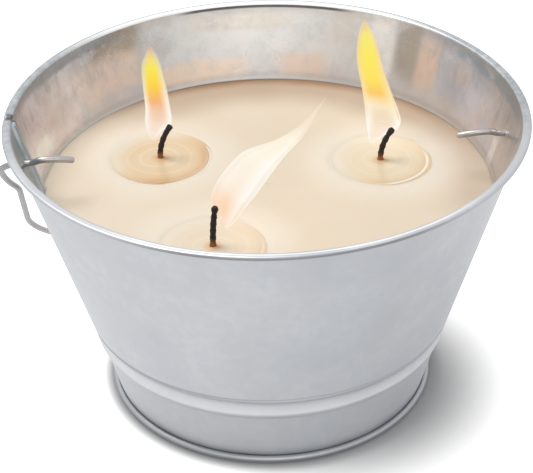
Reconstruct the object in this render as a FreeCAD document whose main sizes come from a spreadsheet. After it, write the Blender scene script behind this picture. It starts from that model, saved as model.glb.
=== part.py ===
import FreeCAD, Part
import math
import os

import Sketcher

# A tapered sheet metal bucket with a rolled rim, a swaged waist and a seamed bottom, a wire
# bail that swings on two holes under the rim, and a poured wax fill with three wicks.
# Millimetres, +Z up. The origin is on the floor under the centre, and the bail's two
# pivots lie on a line along X. At rest the bail hangs behind the bucket, towards +Y.

SIZES = [
    ("height", 118), ("rim_radius", 100), ("sheet", 0.5),
    # The rim is the wall's top rolled outwards into a flattened hollow bead.
    ("curl_width", 3.5), ("curl_height", 1.9),
    # The waist is a fine crease with a rounded band under it, and a step in to the foot.
    ("waist_height", 36.3), ("waist_out", 1.95), ("crease_depth", 0.5), ("crease_half", 0.6),
    ("band_height", 28.5), ("band_out", 1.65), ("band_round", 14),
    ("step_height", 26.7), ("step_out", 6.29), ("step_round", 2.2),
    # The bottom's edge is folded round the wall's foot as a standing ring.
    ("foot_ratio", 0.6296), ("ring_height", 2.8), ("ring_out", 1.94), ("disc_height", 3.5),
    # The lock seam stands inside the wall, beside the left pivot.
    ("seam_azimuth", 176.45), ("seam_span", 3.3), ("seam_rise", 1.1),
    ("notch_azimuth", 174.6), ("notch_span", 0.9), ("notch_depth", 0.25),
    # The bail: w is the distance from the pivots' line in the bail's own plane.
    ("pivot_drop", 15.3), ("wire_radius", 1.25), ("pivot_play", 0.3), ("bead_gap", 0.25),
    ("floor_gap", 0.3), ("stand_off", 31.1), ("bend_radius", 8), ("bow_ratio", 0.69),
    ("bow_turn", 18), ("ease_radius", 30), ("corner_ratio", 0.373), ("corner_turn", 71.5),
    ("stub_straight", 1.2), ("stub_run", 6.7), ("stub_arch", 3), ("stub_end", 10.9),
    ("wax_drop", 31.3), ("wax_gap", 0.2), ("pool_radius", 21.3), ("pool_depth", 1.8),
    ("wick_ratio", 0.7624), ("wick_radius", 1.2),
    ("left_azimuth", 147.5), ("left_height", 13.9), ("left_lean", 4.7),
    ("front_azimuth", 239.6), ("front_height", 16.7), ("front_lean", 1.3),
    ("right_azimuth", 16.0), ("right_height", 13.4), ("right_lean", 4.8),
    ("tab_radius", 10), ("tab_sheet", 0.4), ("neck_radius", 2.2), ("neck_height", 5),
    ("sticker_radius", 9), ("sticker_thickness", 0.6),
]


class Size:
    """A size with the text that FreeCAD works it out from and its number now."""

    def __init__(self, text, value):
        self.text = text
        self.value = value

    def __add__(self, other):
        other = sized(other)
        return Size("(%s + %s)" % (self.text, other.text), self.value + other.value)

    def __sub__(self, other):
        other = sized(other)
        return Size("(%s - %s)" % (self.text, other.text), self.value - other.value)

    def __mul__(self, other):
        other = sized(other)
        return Size("%s * %s" % (self.text, other.text), self.value * other.value)

    def __truediv__(self, other):
        other = sized(other)
        return Size("(%s / %s)" % (self.text, other.text), self.value / other.value)


def sized(number):
    """A plain number as a Size, which a Size stays."""
    if isinstance(number, Size):
        return number
    return Size("(%g)" % number, float(number))


def root(size):
    """The square root of a size."""
    return Size("sqrt(%s)" % size.text, math.sqrt(size.value))


def cosine(size):
    """The cosine of a size read as degrees."""
    return Size("cos(%s * 1 deg)" % size.text, math.cos(math.radians(size.value)))


def sine(size):
    """The sine of a size read as degrees."""
    return Size("sin(%s * 1 deg)" % size.text, math.sin(math.radians(size.value)))


doc = FreeCAD.newDocument("candle_bucket")
sheet = doc.addObject("Spreadsheet::Sheet", "Sizes")
S = {}
for row, (alias, number) in enumerate(SIZES, 1):
    sheet.set("A%d" % row, alias)
    sheet.set("B%d" % row, str(number))
    sheet.setAlias("B%d" % row, alias)
    S[alias] = Size("Sizes." + alias, float(number))
doc.recompute()


def new_body(label):
    """A body of its own, labelled with the piece's name."""
    body = doc.addObject("PartDesign::Body", label)
    body.Label = label
    return body


def plane(body, role):
    """One of the body's own origin planes."""
    return [f for f in body.Origin.OriginFeatures if f.Role == role][0]


def new_sketch(body, name, role="XZ_Plane"):
    """A sketch on one of the body's own origin planes."""
    sketch = body.newObject("Sketcher::SketchObject", name)
    sketch.AttachmentSupport = [(plane(body, role), "")]
    sketch.MapMode = "FlatFace"
    return sketch


def bound(sketch, kind, where, size):
    """A constraint of the sketch whose size follows the sheet."""
    index = sketch.addConstraint(Sketcher.Constraint(kind, *where, size.value))
    sketch.setExpression("Constraints[%d]" % index, size.text)


def arc_centre(start, end, radius, left):
    """The centre of an arc of this radius from start to end, on its left or right side."""
    middle = (start + end) * 0.5
    chord = end - start
    across = FreeCAD.Vector(-chord.y, chord.x, 0).normalize()
    off = math.sqrt(max(radius ** 2 - (chord.Length / 2) ** 2, 0.0))
    return middle + across * (off if left else -off)


def trace(sketch, corners, closed=True):
    """Draws lines and arcs from corner to corner and holds every corner to its sizes.

    A corner is (x, y), or (x, y, radius, side) for one that an arc of that radius leads
    to, with its centre on the "left" or "right" of the way drawn.
    """
    flat = [FreeCAD.Vector(sized(c[0]).value, sized(c[1]).value, 0) for c in corners]
    steps = range(len(corners)) if closed else range(1, len(corners))
    edges = []
    for i in steps:
        start, end = flat[i - 1], flat[i]
        if len(corners[i]) == 2:
            sketch.addGeometry(Part.LineSegment(start, end), False)
            edges.append((1, 2))
            continue
        radius, left = corners[i][2].value, corners[i][3] == "left"
        centre = arc_centre(start, end, radius, left)
        angles = [math.atan2(p.y - centre.y, p.x - centre.x) for p in (start, end)]
        circle = Part.Circle(centre, FreeCAD.Vector(0, 0, 1), radius)
        if left:
            sketch.addGeometry(Part.ArcOfCircle(circle, angles[0], angles[1]), False)
            edges.append((1, 2))
        else:
            sketch.addGeometry(Part.ArcOfCircle(circle, angles[1], angles[0]), False)
            edges.append((2, 1))
    for k in range(len(edges) if closed else len(edges) - 1):
        after = (k + 1) % len(edges)
        sketch.addConstraint(Sketcher.Constraint("Coincident", k, edges[k][1], after, edges[after][0]))
    ends = [(k, edges[k][1], corners[i]) for k, i in enumerate(steps)]
    if not closed:
        ends.append((0, edges[0][0], corners[0]))
    for k, end, corner in ends:
        for kind, axis, size in (("DistanceX", -2, corner[0]), ("DistanceY", -1, corner[1])):
            if isinstance(size, Size):
                bound(sketch, kind, (k, end), size)
            else:
                sketch.addConstraint(Sketcher.Constraint("PointOnObject", k, end, axis))
    for k, i in enumerate(steps):
        if len(corners[i]) > 2:
            bound(sketch, "Radius", (k,), corners[i][2])


def turned(body, name, sketch, kind="Revolution", span=None):
    """A revolved feature of the sketch about its own upright axis."""
    feature = body.newObject("PartDesign::" + kind, name)
    feature.Profile = sketch
    feature.ReferenceAxis = (sketch, ["V_Axis"])
    feature.Angle = 360.0
    if span is not None:
        feature.Midplane = True
        feature.setExpression("Angle", "%s * 1 deg" % span.text)
    sketch.Visibility = False
    return feature


def swing(sketch, azimuth):
    """Turns an upright sketch about the bucket's axis."""
    sketch.AttachmentOffset = FreeCAD.Placement(
        FreeCAD.Vector(), FreeCAD.Rotation(FreeCAD.Vector(0, 1, 0), azimuth.value))
    sketch.setExpression("AttachmentOffset.Rotation.Angle", "%s * 1 deg" % azimuth.text)


def move_to(body, x=None, y=None, z=None):
    """Places a body by sizes."""
    base = [part.value if part is not None else 0.0 for part in (x, y, z)]
    body.Placement = FreeCAD.Placement(FreeCAD.Vector(*base), FreeCAD.Rotation())
    for letter, part in zip("xyz", (x, y, z)):
        if part is not None:
            body.setExpression("Placement.Base." + letter, part.text)


# Levels and radii that follow from the driving sizes.
foot_radius = S["rim_radius"] * S["foot_ratio"]
step_radius = foot_radius + S["step_out"]
band_radius = step_radius + S["band_out"]
waist_radius = band_radius + S["waist_out"]
ring_radius = foot_radius + S["ring_out"]
wick_circle = foot_radius * S["wick_ratio"]
bead_round = S["curl_height"] / 2
wall_top = S["height"] - bead_round
wall_outer = S["rim_radius"] - S["curl_width"] + S["sheet"]
wall_slope = (wall_outer - waist_radius) / (wall_top - S["waist_height"])
pivot_height = S["height"] - S["pivot_drop"]
wall_at_pivot = wall_outer - (wall_top - pivot_height) * wall_slope
disc_top = S["disc_height"] + S["sheet"]
wax_top = S["height"] - S["wax_drop"]
foot_slope = (step_radius - foot_radius) / (S["step_height"] - S["ring_height"])
ring_round = S["ring_height"] / 2
flange_top = S["sheet"] * 2


def wall_line(inset, top, bottom):
    """The wall's outer line pushed in by inset, from the height top down to bottom."""
    crease_top = S["waist_height"] + S["crease_half"]
    crease_foot = S["waist_height"] - S["crease_half"]
    return [
        (wall_outer - (wall_top - top) * wall_slope - inset, top),
        (waist_radius + S["crease_half"] * wall_slope - inset, crease_top),
        (waist_radius - S["crease_depth"] - inset, S["waist_height"]),
        (waist_radius - inset, crease_foot),
        (band_radius - inset, S["band_height"], S["band_round"], "right"),
        (step_radius - inset, S["step_height"], S["step_round"], "right"),
        (foot_radius + (bottom - S["ring_height"]) * foot_slope - inset, bottom),
    ]


def backwards(corners):
    """The same line drawn from its other end."""
    turned_round = []
    for i in range(len(corners) - 1, -1, -1):
        led = corners[i + 1] if i + 1 < len(corners) else corners[i]
        if i + 1 < len(corners) and len(led) > 2:
            side = "left" if led[3] == "right" else "right"
            turned_round.append((corners[i][0], corners[i][1], led[2], side))
        else:
            turned_round.append((corners[i][0], corners[i][1]))
    return turned_round


def bucket_wall():
    """The drawn wall with its rolled rim, waist, foot flange, lock seam and pivot holes."""
    body = new_body("bucket_wall")
    sheet_inner = bead_round - S["sheet"]
    outer_flat = S["rim_radius"] - bead_round
    inner_face = wall_outer - S["sheet"]
    flange_edge = ring_radius - ring_round
    foot = (foot_radius - (S["ring_height"] - flange_top) * foot_slope)
    outline = wall_line(sized(0), wall_top, flange_top)
    outline += [(flange_edge, flange_top), (flange_edge, S["sheet"]), (foot - S["sheet"], S["sheet"])]
    outline += backwards(wall_line(S["sheet"], wall_top, disc_top + S["sheet"]))
    outline += [
        (inner_face + bead_round, S["height"], bead_round, "right"),
        (outer_flat, S["height"]),
        (S["rim_radius"], wall_top, bead_round, "right"),
        (outer_flat, S["height"] - S["curl_height"], bead_round, "right"),
        (wall_outer + S["sheet"] * 0.2, S["height"] - S["curl_height"]),
        (wall_outer + S["sheet"] * 0.2, S["height"] - S["curl_height"] + S["sheet"]),
        (outer_flat, S["height"] - S["curl_height"] + S["sheet"]),
        (outer_flat + sheet_inner, wall_top, sheet_inner, "left"),
        (outer_flat, S["height"] - S["sheet"], sheet_inner, "left"),
        (inner_face + bead_round, S["height"] - S["sheet"]),
    ]
    outline[0] = outline[0] + (sheet_inner, "left")
    sketch = new_sketch(body, "WallOutline")
    trace(sketch, outline)
    turned(body, "Wall", sketch)

    # The lock seam: folded layers that stand proud of the inner face.
    seam = new_sketch(body, "SeamOutline")
    swing(seam, S["seam_azimuth"])
    face = wall_line(S["sheet"] * 0.5, wall_top, disc_top + S["sheet"])
    proud = wall_line(S["sheet"] + S["seam_rise"], wall_top - S["seam_rise"], disc_top + S["sheet"])
    trace(seam, face + backwards(proud))
    turned(body, "LockSeam", seam, span=S["seam_span"])

    # The rolled rim is nicked beside the seam.
    nick = new_sketch(body, "NickOutline")
    swing(nick, S["notch_azimuth"])
    low, high = S["height"] - S["notch_depth"], S["height"] + S["sheet"]
    trace(nick, [(inner_face - S["sheet"], low), (S["rim_radius"] + S["sheet"], low),
                 (S["rim_radius"] + S["sheet"], high), (inner_face - S["sheet"], high)])
    turned(body, "RimNick", nick, "Groove", span=S["notch_span"])

    # One round hole on each side takes an end of the bail.
    hole = new_sketch(body, "PivotHoleOutline", "YZ_Plane")
    hole.addGeometry(Part.Circle(FreeCAD.Vector(0, pivot_height.value, 0), FreeCAD.Vector(0, 0, 1), 1.5), False)
    hole.addConstraint(Sketcher.Constraint("PointOnObject", 0, 3, -2))
    bound(hole, "DistanceY", (0, 3), pivot_height)
    bound(hole, "Radius", (0,), S["wire_radius"] + S["pivot_play"])
    pocket = body.newObject("PartDesign::Pocket", "PivotHoles")
    pocket.Profile = hole
    pocket.Type = "ThroughAll"
    pocket.Midplane = True
    hole.Visibility = False
    return body


def bucket_bottom():
    """The recessed bottom, whose edge folds under and round the wall's foot flange."""
    body = new_body("bucket_bottom")
    inner_fold = ring_round - S["sheet"]
    edge = ring_radius - ring_round
    foot = foot_radius - (S["ring_height"] - flange_top) * foot_slope - S["sheet"]
    stand = foot - S["sheet"] * 1.2
    outline = [
        (0, disc_top), (0, S["disc_height"]), (stand - S["sheet"], S["disc_height"]),
        (stand - S["sheet"], sized(0)), (edge, sized(0)),
        (ring_radius, ring_round, ring_round, "left"),
        (edge, S["ring_height"], ring_round, "left"),
        (foot_radius + S["sheet"] * 0.1, S["ring_height"]),
        (foot_radius + S["sheet"] * 0.1, S["ring_height"] - S["sheet"]),
        (edge, S["ring_height"] - S["sheet"]),
        (ring_radius - S["sheet"], ring_round, inner_fold, "right"),
        (edge, S["sheet"], inner_fold, "right"),
        (stand, S["sheet"]), (stand, disc_top),
    ]
    sketch = new_sketch(body, "BottomOutline")
    trace(sketch, outline)
    turned(body, "Bottom", sketch)
    return body


def bail_line():
    """Half of the bail's centre line in its own plane, from the middle out to a stub's tip."""
    reach = S["rim_radius"] * S["rim_radius"]
    reach = reach + (wall_top - pivot_height) * (wall_top - pivot_height)
    clear = root(reach) + S["wire_radius"] + S["bead_gap"]
    side = root(clear * clear - S["bend_radius"] * S["bend_radius"])
    behind = ring_radius + S["stand_off"]
    drop = pivot_height - S["wire_radius"] - S["floor_gap"]
    depth = root(behind * behind + drop * drop)
    bow = side * S["bow_ratio"]
    bow_sine, bow_cosine = sine(S["bow_turn"]), cosine(S["bow_turn"])
    bow_end = side - bow + bow * bow_cosine
    leg = bow_end - S["ease_radius"] + S["ease_radius"] * bow_cosine
    leg_start = S["bend_radius"] + (bow + S["ease_radius"]) * bow_sine
    corner = depth * S["corner_ratio"]
    corner_sine, corner_cosine = sine(S["corner_turn"]), cosine(S["corner_turn"])
    corner_end = leg - corner + corner * corner_cosine
    crown = corner_end / corner_cosine
    leg_end = depth - crown + crown * corner_sine - corner * corner_sine
    stub_start = wall_at_pivot - S["stub_straight"]
    apex = stub_start - S["stub_run"]
    wave = (S["stub_run"] * S["stub_run"] + S["stub_arch"] * S["stub_arch"]) / (S["stub_arch"] * 4)
    tail = S["stub_end"] * S["stub_end"] + S["stub_arch"] * S["stub_arch"]
    tail = tail / (S["stub_arch"] * 2)
    corners = [
        (0, depth),
        (corner_end, leg_end + corner * corner_sine, crown, "right"),
        (leg, leg_end, corner, "right"),
        (leg, leg_start),
        (bow_end, S["bend_radius"] + bow * bow_sine, S["ease_radius"], "left"),
        (side, S["bend_radius"], bow, "right"),
        (side - S["bend_radius"], 0, S["bend_radius"], "right"),
        (stub_start, 0),
        (stub_start - S["stub_run"] * 0.5, S["stub_arch"] * -0.5, wave, "left"),
        (apex, S["stub_arch"] * -1, wave, "right"),
        (apex - S["stub_end"], 0, tail, "right"),
    ]
    return corners, depth, drop / depth


def bail_handle():
    """The wire bail: one half swept along its line, then mirrored."""
    body = new_body("bail_handle")
    corners, depth, lean_sine = bail_line()
    path = new_sketch(body, "BailLine", "XY_Plane")
    trace(path, corners, closed=False)
    ring = new_sketch(body, "WireSection", "YZ_Plane")
    ring.addGeometry(Part.Circle(FreeCAD.Vector(depth.value, 0, 0), FreeCAD.Vector(0, 0, 1), 1.2), False)
    ring.addConstraint(Sketcher.Constraint("PointOnObject", 0, 3, -1))
    bound(ring, "DistanceX", (0, 3), depth)
    bound(ring, "Radius", (0,), S["wire_radius"])
    doc.recompute()
    wire = body.newObject("PartDesign::AdditivePipe", "Wire")
    wire.Profile = ring
    wire.Spine = path
    doc.recompute()
    mirror = body.newObject("PartDesign::Mirrored", "OtherHalf")
    mirror.Originals = [wire]
    mirror.MirrorPlane = (plane(body, "YZ_Plane"), [""])
    body.Tip = mirror
    doc.recompute()
    ends = [face for face in mirror.Shape.Faces if face.Surface.TypeId == "Part::GeomPlane"]
    names = []
    for number, edge in enumerate(mirror.Shape.Edges, 1):
        if any(edge.isSame(rim) for face in ends for rim in face.Edges):
            names.append("Edge%d" % number)
    tips = body.newObject("PartDesign::Fillet", "RoundedTips")
    tips.Base = (mirror, names)
    tips.Radius = S["wire_radius"].value * 0.5
    tips.setExpression("Radius", (S["wire_radius"] * 0.5).text)
    path.Visibility = False
    ring.Visibility = False
    move_to(body, z=pivot_height)
    dip = math.degrees(math.asin(lean_sine.value))
    body.Placement.Rotation = FreeCAD.Rotation(FreeCAD.Vector(-1, 0, 0), dip)
    body.setExpression("Placement.Rotation.Angle", "asin(%s)" % lean_sine.text)
    return body


def dish_round():
    """The radius of a melt pool's rounded floor."""
    across = S["pool_radius"] - S["wick_radius"]
    return (across * across + S["pool_depth"] * S["pool_depth"]) / (S["pool_depth"] * 2)


def wax_fill():
    """The poured wax, with a dish at each wick and room for what stands in it."""
    body = new_body("wax_fill")
    inset = S["sheet"] + S["wax_gap"]
    side = wall_line(inset, wax_top, disc_top + S["sheet"])
    foot = side[-1][0] - S["sheet"]
    sketch = new_sketch(body, "WaxOutline")
    trace(sketch, [(0, wax_top)] + side + [(foot, disc_top), (0, disc_top)])
    turned(body, "Wax", sketch)

    room = new_sketch(body, "SeamRoomOutline")
    swing(room, S["seam_azimuth"])
    clear = wall_line(inset + S["seam_rise"], wax_top + S["sheet"], disc_top - S["sheet"])
    far = S["rim_radius"]
    trace(room, [(far, disc_top - S["sheet"]), (far, wax_top + S["sheet"])] + clear)
    turned(body, "SeamRoom", room, "Groove", span=S["seam_span"] + S["wax_gap"] * 2)

    tab_foot = disc_top + S["sticker_thickness"]
    tab_top = tab_foot + S["tab_sheet"]
    neck_top = tab_foot + S["neck_height"]
    dish_foot = wax_top - S["pool_depth"]
    for name in ("Left", "Front", "Right"):
        azimuth = S[name.lower() + "_azimuth"]
        cut = new_sketch(body, name + "WickRoomOutline")
        cut.AttachmentOffset = FreeCAD.Placement(FreeCAD.Vector(
            wick_circle.value * cosine(azimuth).value, 0,
            -wick_circle.value * sine(azimuth).value), FreeCAD.Rotation())
        cut.setExpression("AttachmentOffset.Base.x", (wick_circle * cosine(azimuth)).text)
        cut.setExpression("AttachmentOffset.Base.z", (wick_circle * sine(azimuth) * -1).text)
        trace(cut, [
            (0, disc_top - S["sheet"]), (S["sticker_radius"], disc_top - S["sheet"]),
            (S["sticker_radius"], tab_foot), (S["tab_radius"], tab_foot), (S["tab_radius"], tab_top),
            (S["neck_radius"], tab_top), (S["neck_radius"], neck_top), (S["wick_radius"], neck_top),
            (S["wick_radius"], dish_foot), (S["pool_radius"], wax_top, dish_round(), "left"),
            (S["pool_radius"], wax_top + S["sheet"]), (0, wax_top + S["sheet"]),
        ])
        turned(body, name + "WickRoom", cut, "Groove")
    return body


def stand_at(body, side, level):
    """Places a wick's piece on its own upright line at a level."""
    azimuth = S[side + "_azimuth"]
    move_to(body, wick_circle * cosine(azimuth), wick_circle * sine(azimuth), level)


def melt_pool(side):
    """The molten wax that fills one dish, level with the wax round it."""
    body = new_body("melt_pool_" + side)
    sketch = new_sketch(body, "PoolOutline")
    trace(sketch, [(S["wick_radius"], sized(0)), (S["wick_radius"], S["pool_depth"] * -1),
                   (S["pool_radius"], sized(0), dish_round(), "left")])
    turned(body, "Pool", sketch)
    stand_at(body, side, wax_top)
    return body


def wick(side):
    """The braided wick: upright in the wax, and curling over as it stands free."""
    body = new_body("wick_" + side)
    foot = disc_top + S["sticker_thickness"]
    free = wax_top - foot
    lean, rise = S[side + "_lean"], S[side + "_height"]
    curl = (lean * lean + rise * rise) / (lean * 2)
    path = new_sketch(body, "WickLine")
    trace(path, [(0, 0), (0, free), (lean, free + rise, curl, "right")], closed=False)
    ring = new_sketch(body, "WickSection", "XY_Plane")
    ring.addGeometry(Part.Circle(FreeCAD.Vector(), FreeCAD.Vector(0, 0, 1), 1.2), False)
    ring.addConstraint(Sketcher.Constraint("Coincident", 0, 3, -1, 1))
    bound(ring, "Radius", (0,), S["wick_radius"])
    doc.recompute()
    braid = body.newObject("PartDesign::AdditivePipe", "Braid")
    braid.Profile = ring
    braid.Spine = path
    path.Visibility = False
    ring.Visibility = False
    stand_at(body, side, foot)
    return body


def wick_tab(side):
    """The wick's metal foot: a thin disc with a neck crimped on the wick."""
    body = new_body("wick_tab_" + side)
    sketch = new_sketch(body, "TabOutline")
    trace(sketch, [(S["wick_radius"], sized(0)), (S["tab_radius"], sized(0)),
                   (S["tab_radius"], S["tab_sheet"]), (S["neck_radius"], S["tab_sheet"]),
                   (S["neck_radius"], S["neck_height"]), (S["wick_radius"], S["neck_height"])])
    turned(body, "Tab", sketch)
    stand_at(body, side, disc_top + S["sticker_thickness"])
    return body


def wick_sticker(side):
    """The round adhesive pad that holds a wick's foot on the bottom."""
    pad = doc.addObject("Part::Cylinder", "wick_sticker_" + side)
    pad.Label = "wick_sticker_" + side
    pad.setExpression("Radius", S["sticker_radius"].text)
    pad.setExpression("Height", S["sticker_thickness"].text)
    stand_at(pad, side, disc_top)
    return pad


def save(pieces):
    """Checks every object and writes one STEP file for each piece."""
    doc.recompute()
    for item in doc.Objects:
        if "Invalid" in item.State or "Error" in item.State:
            raise RuntimeError("%s: %s" % (item.Label, item.State))
    for piece in pieces:
        shape = piece.Shape
        if shape.isNull() or not shape.isValid() or len(shape.Solids) != 1:
            raise RuntimeError("bad shape: " + piece.Label)
        shape.exportStep("parts/%s.step" % piece.Label)
        box = shape.BoundBox
        print("%-20s %10.1f mm3  x %.2f..%.2f y %.2f..%.2f z %.2f..%.2f" % (
            piece.Label, shape.Volume, box.XMin, box.XMax, box.YMin, box.YMax, box.ZMin, box.ZMax))


os.makedirs("parts", exist_ok=True)
pieces = [bucket_wall(), bucket_bottom(), bail_handle(), wax_fill()]
for side in ("left", "front", "right"):
    pieces += [melt_pool(side), wick(side), wick_tab(side), wick_sticker(side)]
save(pieces)
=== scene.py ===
import math

import bmesh
import bpy
import numpy as np
from mathutils import Matrix, Vector


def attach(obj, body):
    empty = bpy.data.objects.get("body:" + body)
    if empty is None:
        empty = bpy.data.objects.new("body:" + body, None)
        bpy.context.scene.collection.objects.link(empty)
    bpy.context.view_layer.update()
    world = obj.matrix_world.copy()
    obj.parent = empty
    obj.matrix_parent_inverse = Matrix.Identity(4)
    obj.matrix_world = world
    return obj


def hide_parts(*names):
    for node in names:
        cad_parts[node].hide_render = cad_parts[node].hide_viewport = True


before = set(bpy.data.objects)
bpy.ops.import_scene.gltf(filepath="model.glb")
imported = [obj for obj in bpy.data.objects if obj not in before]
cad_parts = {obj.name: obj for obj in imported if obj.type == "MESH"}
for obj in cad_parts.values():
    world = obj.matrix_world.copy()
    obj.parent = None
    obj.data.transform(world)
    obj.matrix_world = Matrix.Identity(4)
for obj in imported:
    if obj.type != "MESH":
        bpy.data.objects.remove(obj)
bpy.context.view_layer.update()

# A galvanised candle bucket: metres, +Z up, the origin on the floor under its centre.
# The bail's pivots lie along X. The sizes below are millimetres and repeat the part's own.
MM = 0.001
HEIGHT = 118.0
RIM = 100.0
SHEET = 0.5
BEAD_HALF = 0.95
WALL_TOP = HEIGHT - BEAD_HALF
# The wall's outer radii: under the roll, at the foot, and over it the step, the band and the
# waist. The ring is folded round the foot.
WALL_FACE = 97.0
FOOT = 62.96
STEP, BAND, WAIST, RING = FOOT + 6.29, FOOT + 7.94, FOOT + 9.89, FOOT + 1.94
RING_Z, DISC_Z, STEP_Z, BAND_Z, WAIST_Z = 2.8, 3.5, 26.7, 28.5, 36.3
PIVOT_Z = HEIGHT - 15.3
# The radii of the pivot holes and the bail's wire.
HOLE, WIRE = 1.55, 1.25
# How far the bail's wire stays off the rim's roll, the floor and the ring at the foot.
ROLL_GAP, FLOOR_GAP, STAND_OFF = 0.25, 0.3, 31.1
WAX_Z = HEIGHT - 31.3
POOL, POOL_DEPTH = 21.3, 1.8
SLOPE = (WALL_FACE - WAIST) / (WALL_TOP - WAIST_Z)
SEAM_MIDDLE, SEAM_SPAN, SEAM_RISE = 176.45, 3.3, 1.1
NICK = 174.6
WICK_RADIUS = 1.2
WICK_CIRCLE = FOOT * 0.7624
# Each wick: its azimuth round the bucket, how far it stands free, and its lean along X.
WICKS = {"left": (147.5, 13.9, 4.7), "front": (239.6, 16.7, 1.3), "right": (16.0, 13.4, 4.8)}


def wick_foot(side):
    """Where a wick stands, as x and y."""
    azimuth = math.radians(WICKS[side][0])
    return np.array([WICK_CIRCLE * math.cos(azimuth), WICK_CIRCLE * math.sin(azimuth)])


def wick_base(side):
    """Where a wick leaves the wax, in metres."""
    return (*(wick_foot(side) * MM), WAX_Z * MM)


# Shapes

def put(name, data):
    """A new object in the scene with a mesh, a light or a camera."""
    piece = bpy.data.objects.new(name, data)
    bpy.context.scene.collection.objects.link(piece)
    return piece


def piece_from_arrays(name, points, faces, material, body="bucket", slot=None, nodes=(), caps=()):
    """Makes one smooth piece from points in millimetres and an array of quads."""
    mesh = bpy.data.meshes.new(name)
    mesh.from_pydata((np.reshape(points, (-1, 3)) * MM).tolist(), [], faces.tolist() + list(caps))
    shell = bmesh.new()
    shell.from_mesh(mesh)
    bmesh.ops.recalc_face_normals(shell, faces=shell.faces)
    shell.to_mesh(mesh)
    shell.free()
    mesh.polygons.foreach_set("use_smooth", np.ones(len(mesh.polygons), dtype=bool))
    mesh.materials.append(material)
    piece = put(name, mesh)
    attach(piece, body)
    if nodes:
        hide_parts(*nodes)
    return piece


def grid_faces(rows, columns, wrap_rows=False, wrap_columns=False):
    """Quads over a rows by columns grid of points, joined round where a side wraps."""
    i, j = np.meshgrid(np.arange(rows if wrap_rows else rows - 1),
                       np.arange(columns if wrap_columns else columns - 1), indexing="ij")
    i, j = i.ravel(), j.ravel()
    i2, j2 = (i + 1) % rows, (j + 1) % columns
    return np.stack([i * columns + j, i * columns + j2, i2 * columns + j2, i2 * columns + j], axis=1)


def end_caps(rows, columns):
    """The two faces that close a tube made of rows rings of columns points."""
    last = (rows - 1) * columns
    return [list(range(columns))[::-1], list(range(last, last + columns))]


def lathe(name, outline, angle, material, **keys):
    """A closed outline (r, z) turned round Z: x = r cos a, y = r sin a at each angle a."""
    angle = np.asarray(angle)[:, None]
    x = outline[None, :, 0] * np.cos(angle)
    y = outline[None, :, 0] * np.sin(angle)
    z = np.broadcast_to(outline[None, :, 1], x.shape)
    points = np.stack([x, y, z], axis=-1)
    return piece_from_arrays(name, points, grid_faces(len(angle), len(outline), True, True), material, **keys)


def full_turn(count):
    """Even angles round a full turn."""
    return np.linspace(0, 2 * np.pi, count, endpoint=False)


def arc(centre, radius, start, end, count):
    """Points on a circle's arc, with its angles in degrees."""
    angle = np.radians(np.linspace(start, end, count))
    return np.stack([centre[0] + radius * np.cos(angle), centre[1] + radius * np.sin(angle)], axis=1)


def wall_radius(level):
    """The wall's outer radius at a level: a cone down to the waist, a fine crease there, a
    hollow band under it, a soft step in, and the foot's cone."""
    hollow, crease, step_start, step_end = 0.85, 0.55, STEP_Z - 2.2, BAND_Z + 0.2
    level = np.asarray(level, dtype=float)
    cone = WALL_FACE - (WALL_TOP - level) * SLOPE
    place = (level - BAND_Z) / (WAIST_Z - 0.6 - BAND_Z)
    inside = np.clip(place, 0, 1)
    band = BAND + (WAIST - BAND) * place - 4 * hollow * inside * (1 - inside)
    foot = FOOT + (level - RING_Z) * (STEP - FOOT) / (STEP_Z - RING_Z)
    ease = np.clip((level - step_start) / (step_end - step_start), 0, 1)
    ease = ease * ease * (3 - 2 * ease)
    low = foot + (band - foot) * ease
    radius = np.where(level > WAIST_Z, cone, low)
    return radius - crease * np.exp(-((level - WAIST_Z) / crease) ** 2)


def wall_levels(bottom):
    """Levels from the rim down to bottom, close together at the waist, band and step."""
    return np.concatenate([
        np.linspace(WALL_TOP, 40.0, 20), np.linspace(38.6, 24.8, 58), np.linspace(22.5, bottom, 8)])


def wall_outline():
    """The wall's section: outer face, foot flange, inner face, and the rim's flattened roll."""
    levels = wall_levels(1.0)
    outer = np.stack([wall_radius(levels), levels], axis=1)
    flange = np.array([[RING - 1.4, 1.0], [RING - 1.4, 0.5], [FOOT - 1.0, 0.5]])
    levels = wall_levels(1.4)[::-1]
    inner = np.stack([wall_radius(levels) - SHEET, levels], axis=1)
    flat = RIM - BEAD_HALF
    neck = WALL_FACE - SHEET + BEAD_HALF
    over = arc((neck, WALL_TOP), BEAD_HALF, 170, 90, 10)
    roll = arc((flat, WALL_TOP), BEAD_HALF, 90, -90, 20)
    tuck = np.array([[WALL_FACE + 0.12, HEIGHT - 1.9], [WALL_FACE + 0.12, HEIGHT - 1.4]])
    hollow = arc((flat, WALL_TOP), BEAD_HALF - SHEET, -90, 90, 8)
    under = arc((neck, WALL_TOP), BEAD_HALF - SHEET, 90, 170, 5)
    return np.concatenate([outer, flange, inner, over, roll, tuck, hollow, under])


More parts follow.
